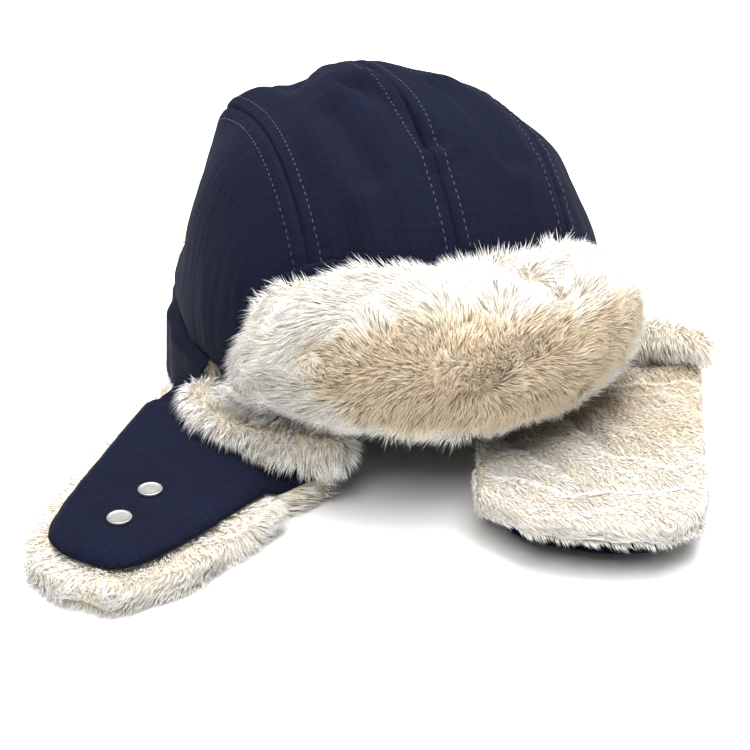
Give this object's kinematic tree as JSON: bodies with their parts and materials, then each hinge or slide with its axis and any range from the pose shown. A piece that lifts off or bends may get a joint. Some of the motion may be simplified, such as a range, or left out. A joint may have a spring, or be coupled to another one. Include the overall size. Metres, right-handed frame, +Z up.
{
  "type": "trapper hat",
  "caption": "Padded cotton cap with a folded-up fur brim, fur-lined ear flaps with snaps, and a neck flap, each folding on the crown.",
  "frame": {"origin": "on the surface that the hat rests on, straight below the centre of the crown's rim", "axes": "+Z up through the crown, -Y the front of the hat, -X the wearer's right"},
  "size_m": [0.3121, 0.3688, 0.138],
  "materials": {
    "shell_cotton": "matte",
    "quilted_lining": "satin",
    "wadding": "matte",
    "sweatband_twill": "matte",
    "interlining": "matte",
    "faux_fur": "matte",
    "snap_metal": "satin"
  },
  "bodies": {
    "crown": {"crown_panel_side_right": "shell_cotton", "crown_panel_middle_right": "shell_cotton", "crown_panel_middle_left": "shell_cotton", "crown_panel_side_left": "shell_cotton", "ear_neck_band_shell": "shell_cotton", "right_ear_fold_shell": "shell_cotton", "left_ear_fold_shell": "shell_cotton", "neck_fold_shell": "shell_cotton", "lining_panel_side_right": "quilted_lining", "lining_panel_middle_right": "quilted_lining", "lining_panel_middle_left": "quilted_lining", "lining_panel_side_left": "quilted_lining", "crown_wadding": "wadding", "sweatband": "sweatband_twill", "ear_neck_band_fur": "faux_fur", "right_ear_fold_fur": "faux_fur", "left_ear_fold_fur": "faux_fur", "neck_fold_fur": "faux_fur", "right_temple_fur_roll": "faux_fur", "left_temple_fur_roll": "faux_fur"},
    "brim": {"brim_shell": "shell_cotton", "brim_interlining": "interlining", "brim_fur": "faux_fur"},
    "right_ear_flap": {"right_flap_shell": "shell_cotton", "right_flap_wadding": "wadding", "right_flap_fur": "faux_fur", "right_flap_snap_caps": "snap_metal", "right_flap_snap_sockets": "snap_metal"},
    "left_ear_flap": {"left_flap_shell": "shell_cotton", "left_flap_wadding": "wadding", "left_flap_fur": "faux_fur", "left_flap_snap_studs": "snap_metal", "left_flap_snap_posts": "snap_metal"},
    "neck_flap": {"neck_flap_shell": "shell_cotton", "neck_flap_wadding": "wadding", "neck_flap_fur": "faux_fur"}
  },
  "joints": [
    {"name": "brim_fold", "type": "hinge", "parent": "crown", "child": "brim", "pos_m": [0, -0.112, 0.033], "axis": [1, 0, 0], "range_deg": [0, 35]},
    {"name": "right_ear_flap_fold", "type": "hinge", "parent": "crown", "child": "right_ear_flap", "pos_m": [-0.11182, -0.0407, 0.009], "axis": [-0.342, 0.9397, 0], "range_deg": [-85, 64]},
    {"name": "left_ear_flap_fold", "type": "hinge", "parent": "crown", "child": "left_ear_flap", "pos_m": [0.08442, -0.03901, 0.009], "axis": [0.9078, -0.4195, 0], "range_deg": [0, 88]},
    {"name": "neck_flap_fold", "type": "hinge", "parent": "crown", "child": "neck_flap", "pos_m": [0, 0.129, 0.008], "axis": [1, 0, 0], "range_deg": [-80, 75]}
  ]
}
